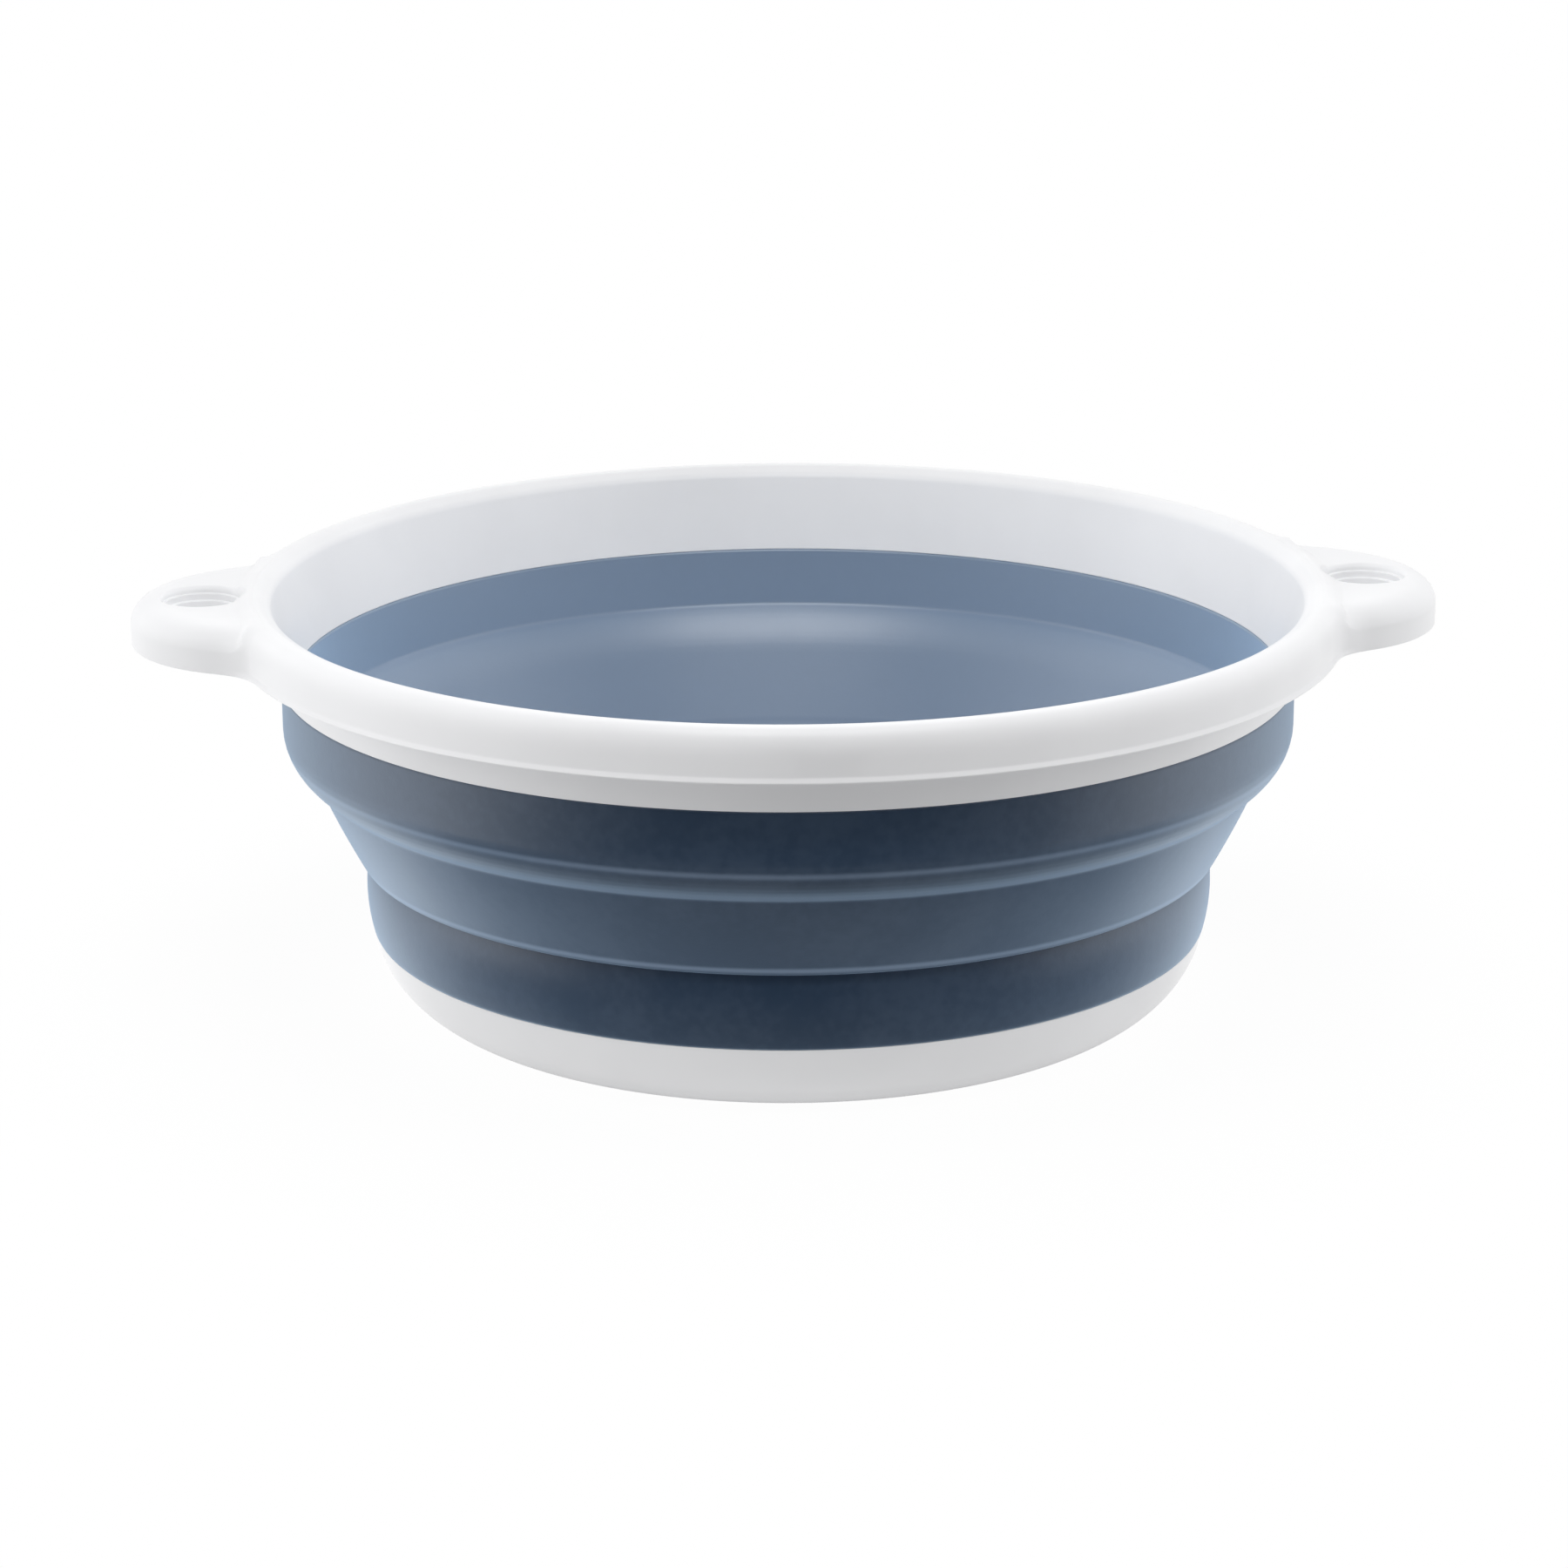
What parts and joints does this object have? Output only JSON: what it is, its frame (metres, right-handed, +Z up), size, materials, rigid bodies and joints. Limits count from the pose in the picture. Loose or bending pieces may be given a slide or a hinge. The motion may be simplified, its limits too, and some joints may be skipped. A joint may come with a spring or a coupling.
{
  "type": "collapsible wash basin",
  "caption": "Round wash basin with a rigid rim, side handles with hanging holes and a rubber wall that folds flat when the rim is pushed down onto the base.",
  "frame": {"origin": "on the floor, under the middle of the base, with the basin standing open", "axes": "+Z up along the basin's turning axis, which is also the folding axis; +X towards the right handle, across both handles"},
  "size_m": [0.3734, 0.316, 0.1215],
  "materials": {
    "white_plastic": "satin white moulded polypropylene",
    "blue_grey_rubber": "fine matte blue-grey thermoplastic rubber"
  },
  "bodies": {
    "base": {"base_shell": "white_plastic", "wall_lower_band": "blue_grey_rubber", "wall_folding_cone": "blue_grey_rubber"},
    "rim": {"rim_with_handles": "white_plastic", "wall_upper_band": "blue_grey_rubber"}
  },
  "joints": [
    {"name": "collapse", "type": "slide", "parent": "base", "child": "rim", "axis": [0, 0, 1], "range_m": [-0.061, 0], "deforming": ["wall_folding_cone"]}
  ]
}
